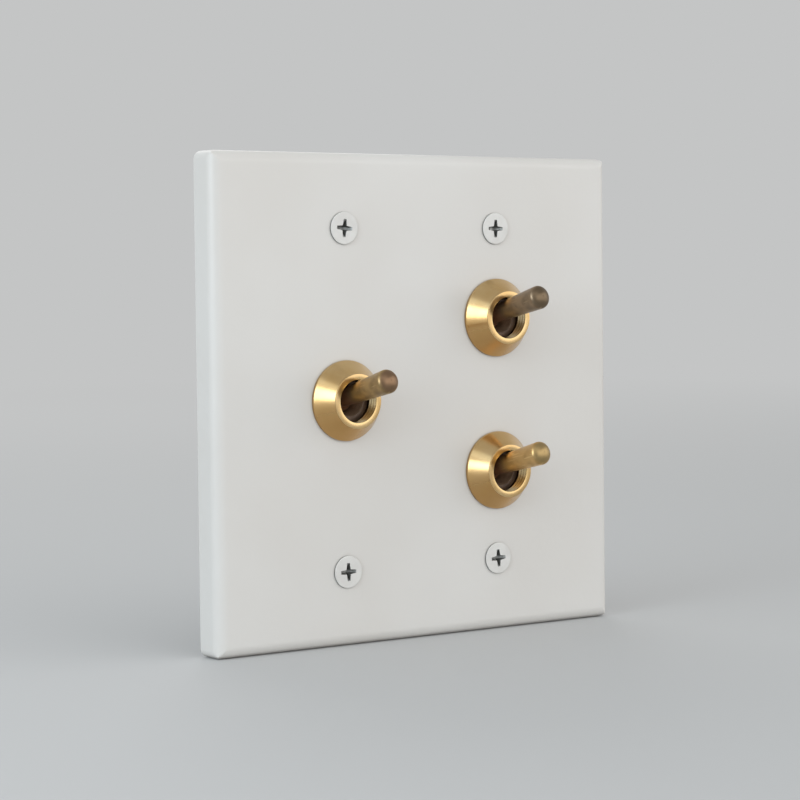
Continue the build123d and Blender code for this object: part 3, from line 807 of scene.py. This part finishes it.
def buildPlateScrews(look):
    bm = bmesh.new()
    for place, turn in zip(screwPlaces(), look["turns"]):
        screw = buildPlateScrew(look)
        spot = (place.translation / mm).xz
        bmesh.ops.transform(
            screw, verts=screw.verts,
            matrix=Matrix.Translation((*spot, 0)) @ Matrix.Rotation(math.radians(turn), 4, "Z"),
        )
        join(bm, screw)
    return bm


fixToPlate("wall_plate", buildWallPlate(plateLook), outOfPlate, [whiteEnamel, panInside])
fixToPlate(
    "plate_screws", buildPlateScrews(plateScrewLook), outOfPlate,
    [screwEnamel, metals["shadedBareSteel"], metals["zincSteel"], metals["litSteel"]], smoothUnder=20,
)
print("plate and screws built")


# Bezel nut: a turned cone with a flat ring, its thread showing in the mouth
bezelNutLook = dict(
    bore=5.6, rim=0.8, topRadius=6.65, lip=0.3, mouth=5.22, mouthLand=0.12, runOut=0.45, edgeRound=0.07,
    steps=128, threadCrest=5.2, pitch=1.0, threadGap=0.1, threadSteps=64, shadedSideWay=(-0.5, -0.87),
)


def buildBezelNut(look):
    low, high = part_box("left_bezel_nut")
    base, back, front = (high.x - low.x) / 2 / mm, -high.y / mm, -low.y / mm
    bm = bmesh.new()
    turned(
        bm,
        [
            (look["bore"], back),
            (base, back),
            (base, back + look["rim"]),
            (look["topRadius"], front - look["lip"]),
            (look["topRadius"], front),
            (look["mouth"], front),
            (look["mouth"], front - look["mouthLand"]),
            (look["bore"], front - look["runOut"]),
            (look["bore"], back),
        ],
        look["steps"],
    )
    bmesh.ops.recalc_face_normals(bm, faces=bm.faces)
    roundEdges(bm, look["edgeRound"], sharperThan=20, pick=lambda edge: edge.is_convex)
    threadFrom = look["threadGap"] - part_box("left_bushing")[0].y / mm
    addThread(
        bm, look["bore"], look["threadCrest"], look["pitch"], threadFrom, front - look["mouthLand"],
        look["threadSteps"], finish=1,
    )
    # how far each point of the cone faces its lower left, for the painted shade on that side
    lowerLeftShade = bm.verts.layers.float.new("lowerLeftShade")
    for vert in bm.verts:
        onCone = vert.co.z < front - look["lip"] + nearly
        vert[lowerLeftShade] = vert.co.xy.normalized().dot(look["shadedSideWay"]) if onCone else 0.0
    return bm


# Bushing: threaded outside, with a coned mouth for the lever
bushingLook = dict(
    threadRoot=5.1, threadRadius=5.55, pitch=1.0, threadGap=0.1, threadSteps=64, frameTop=1.5, chamfer=0.35,
    leadIn=0.1, mouth=3.8, bore=3.3, coneLength=3.0, stakeRadius=4.6, stakeLip=5.1, stakeThickness=0.4,
    flare=0.5, edgeRound=0.08, steps=96,
)


def buildBushing(look):
    low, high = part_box("left_bushing")
    back, front = -high.y / mm, -low.y / mm
    under = back + look["stakeThickness"]
    bm = bmesh.new()
    turned(
        bm,
        [
            (look["bore"] + look["flare"], back),
            (look["stakeLip"], back),
            (look["stakeLip"], under),
            (look["stakeRadius"], under),
            (look["stakeRadius"], look["frameTop"]),
            (look["threadRoot"], look["frameTop"]),
            (look["threadRoot"], front - look["leadIn"]),
            (look["threadRoot"] - look["leadIn"], front),
            (look["mouth"], front),
            (look["bore"], front - look["coneLength"]),
            (look["bore"], back + look["flare"]),
            (look["bore"] + look["flare"], back),
        ],
        look["steps"],
    )
    bmesh.ops.recalc_face_normals(bm, faces=bm.faces)
    # the land and outside get the darker nickel, which is painted shade; the bore and mouth get the lighter one,
    # which is painted light
    for face in bm.faces:  # the second finish is for the bore and its mouth
        face.material_index = int(face.calc_center_median().xy.length < look["mouth"])
    roundEdges(bm, look["edgeRound"], sharperThan=30, segments=2)
    addThread(
        bm, look["threadRoot"], look["threadRadius"], look["pitch"], look["frameTop"] + look["threadGap"],
        front - look["chamfer"], look["threadSteps"],
    )
    return bm


for name in switchNames:
    place = axisOf(name + "_bezel_nut") @ outOfPlate
    fixToPlate(name + "_bezel_nut", buildBezelNut(bezelNutLook), place, [turnedBrass, litThreadBrass])
    fixToPlate(
        name + "_bushing", buildBushing(bushingLook), place, [metals["shadedGreasyNickel"], metals["litMouthNickel"]]
    )
print("nuts and bushings built")


# Terminal screws: the solids' slotted heads, their shanks slimmed and given a thread
terminalScrewLook = dict(
    edgeRound=0.07, headHeight=1.9, strip=1.0, shank=1.5, shankMargin=0.1, threadRoot=1.22, pitch=0.5,
    length=4.0, point=0.3, threadGap=0.05, threadSteps=24,
)


def buildTerminalScrews(node, look):
    bm = softened(node, look["edgeRound"])
    low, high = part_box(node)
    middle = (low + high) / 2
    level = (high.z - low.z) / 2 - (look["headHeight"] + look["strip"] / 2) * mm
    for height, facing in ((level, 1), (0, 1), (-level, -1)):
        under = middle + Vector((0, 0, height + facing * look["strip"] / 2 * mm))
        shank = [
            vert
            for vert in bm.verts
            if (vert.co - under).xy.length < (look["shank"] + look["shankMargin"]) * mm
            and -look["length"] - nearly < facing * (vert.co.z - under.z) / mm < nearly
        ]
        slim = look["threadRoot"] / look["shank"]
        bmesh.ops.scale(bm, vec=(slim, slim, 1), space=Matrix.Translation(-under), verts=shank)
        turn = Matrix.Rotation(0 if facing > 0 else math.pi, 4, "X")
        addThread(
            bm, look["threadRoot"], look["shank"], look["pitch"], look["point"] - look["length"],
            -look["threadGap"], look["threadSteps"],
            place=Matrix.Translation(under) @ turn @ Matrix.Scale(mm, 4),
        )
    return bm


# Plunger spring: round wire with closed end turns, built at one length; the real one shortens with the plunger
springLook = dict(
    coilRadius=0.96, wire=0.17, wireSides=10, low=-4.98, high=-1.82, endTurns=1, endPitch=2.1, liveTurns=3.5,
    steps=24,
)


def buildSpring(look):
    bm = bmesh.new()
    section = Matrix.Translation((look["coilRadius"], 0, look["low"])) @ Matrix.Rotation(math.pi / 2, 4, "X")
    bmesh.ops.create_circle(bm, segments=look["wireSides"], radius=look["wire"], matrix=section)
    wire = bm.verts[:] + bm.edges[:]
    tight = look["endPitch"] * look["wire"] * look["endTurns"]
    climb = look["high"] - look["low"] - 2 * tight
    for turns, rise in ((look["endTurns"], tight), (look["liveTurns"], climb), (look["endTurns"], tight)):
        steps = round(turns * look["steps"])
        wire = bmesh.ops.spin(
            bm, geom=wire, cent=(0, 0, 0), axis=(0, 0, 1), dvec=(0, 0, rise / steps), angle=math.tau * turns,
            steps=steps,
        )["geom_last"]
    bmesh.ops.holes_fill(bm, edges=[edge for edge in bm.edges if edge.is_boundary], sides=0)
    bmesh.ops.recalc_face_normals(bm, faces=bm.faces)
    return bm


# Stamped and moulded pieces behind the plate: how far their edges are rounded, in millimetres
edgeRounds = {
    "lock_washer": 0.05, "back_nut": 0.12, "steel_frame": 0.1, "switch_case": 0.25, "common_terminal": 0.1,
    "first_terminal": 0.1, "second_terminal": 0.1,
}
keptSolids = ("pivot_pin", "plunger", "rocker", "moving_contacts", "fixed_contacts", "lever")


for name in switchNames:
    node = name + "_terminal_screws"
    fixToPlate(node, buildTerminalScrews(node, terminalScrewLook), Matrix(), [finishOf[slotOf[node]]])
    for piece, size in edgeRounds.items():
        node = f"{name}_{piece}"
        fixToPlate(node, softened(node, size), Matrix(), [finishOf[slotOf[node]]])
    along = Matrix.Translation(leverPivot(name)) @ leverTurn(name).to_matrix().to_4x4() @ Matrix.Scale(mm, 4)
    spring = finishPiece(name + "_plunger_spring", buildSpring(springLook), along, [metals["springSteel"]])
    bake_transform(spring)
    for piece in keptSolids:
        node = f"{name}_{piece}"
        mesh = frame["nodes"][node].data
        mesh.materials.clear()
        mesh.materials.append(agedBrass[name] if piece == "lever" else finishOf[slotOf[node]])
print("switch pieces finished")


# Stage: pale floor, soft lamps, camera as in the photograph
stageLook = dict(
    pale=shade(196, 197, 197), floorSize=8.0, blendFrom=0.25, blendTo=1.6,
    lamps={
        "windowLeft": dict(
            place=(-0.8, -0.215, 0.24), size=(0.42, 0.42), radiance=3.3, colour=(0.82, 0.92, 1.0)
        ),
        "skyLeft": dict(place=(-1.0, -0.2, 0.4), size=(1.2, 1.2), radiance=0.74, colour=(0.78, 0.9, 1.0)),
        "fillFront": dict(place=(0.85, -1.2, 0.38), size=(3.3, 1.1), radiance=1.13, colour=(1.0, 0.98, 0.97)),
        "overhead": dict(place=(-0.3, -1.1, 0.9), size=(1.0, 1.0), radiance=0.5, colour=(1.0, 1.0, 1.0)),
        "backFill": dict(place=(0.4, 1.2, 0.7), size=(1.0, 1.0), radiance=1.0, colour=(1.0, 1.0, 1.0)),
    },
    cameraPlace=(-0.35528, -0.50031, 0.02954), heading=35.29, dip=2.848, roll=-0.622, focal=2451.0,
    frameWidth=800, sensorWidth=36.0,  # focal length and frame in pixels, sensor in millimetres
)


def buildFloor(look):
    bm = bmesh.new()
    bmesh.ops.create_grid(bm, x_segments=1, y_segments=1, size=look["floorSize"])
    bmesh.ops.translate(bm, vec=(0, 0, cadBox[0].z), verts=bm.verts)
    mesh = bpy.data.meshes.new("floor")
    bm.to_mesh(mesh)
    bm.free()
    floor = bpy.data.objects.new("floor", mesh)
    bpy.context.scene.collection.objects.link(floor)
    finish, tree, shader = newFinish("floor", Roughness=0.7)
    shader["Base Color"].default_value = look["pale"]
    away = addNode(tree, "ShaderNodeVectorMath", {0: partPoint(tree)}, operation="LENGTH").outputs["Value"]
    far = ramp(tree, away, look["blendFrom"], look["blendTo"], soft=True)
    glow = addNode(tree, "ShaderNodeEmission", {"Color": look["pale"]})
    blend = addNode(
        tree, "ShaderNodeMixShader",
        {"Fac": far, 1: tree.nodes["Principled BSDF"].outputs["BSDF"], 2: glow.outputs["Emission"]},
    )
    tree.links.new(blend.outputs["Shader"], tree.nodes["Material Output"].inputs["Surface"])
    mesh.materials.append(finish)


def buildStage(look):
    scene = bpy.context.scene
    scene.view_settings.view_transform = "Standard"
    scene.world = bpy.data.worlds.new("paleRoom")
    scene.world.use_nodes = True
    scene.world.node_tree.nodes["Background"].inputs["Color"].default_value = look["pale"]
    buildFloor(look)
    for name, lamp in look["lamps"].items():
        light = bpy.data.lights.new(name, "AREA")
        light.shape = "RECTANGLE"
        light.size, light.size_y = lamp["size"]
        light.energy = lamp["radiance"] * math.pi * light.size * light.size_y
        light.color = lamp["colour"]
        box = bpy.data.objects.new(name, light)
        scene.collection.objects.link(box)
        box.visible_camera = False
        box.location = lamp["place"]
        box.rotation_euler = (-Vector(lamp["place"])).to_track_quat("-Z", "Y").to_euler()
    camera = bpy.data.objects.new("camera", bpy.data.cameras.new("camera"))
    scene.collection.objects.link(camera)
    camera.data.sensor_width = look["sensorWidth"]
    camera.data.lens = look["sensorWidth"] * look["focal"] / look["frameWidth"]
    camera.matrix_world = (
        Matrix.Translation(look["cameraPlace"])
        @ Matrix.Rotation(math.radians(-look["heading"]), 4, "Z")
        @ Matrix.Rotation(math.radians(90 - look["dip"]), 4, "X")
        @ Matrix.Rotation(math.radians(look["roll"]), 4, "Z")
    )
    scene.camera = camera


buildStage(stageLook)
print("stage set")
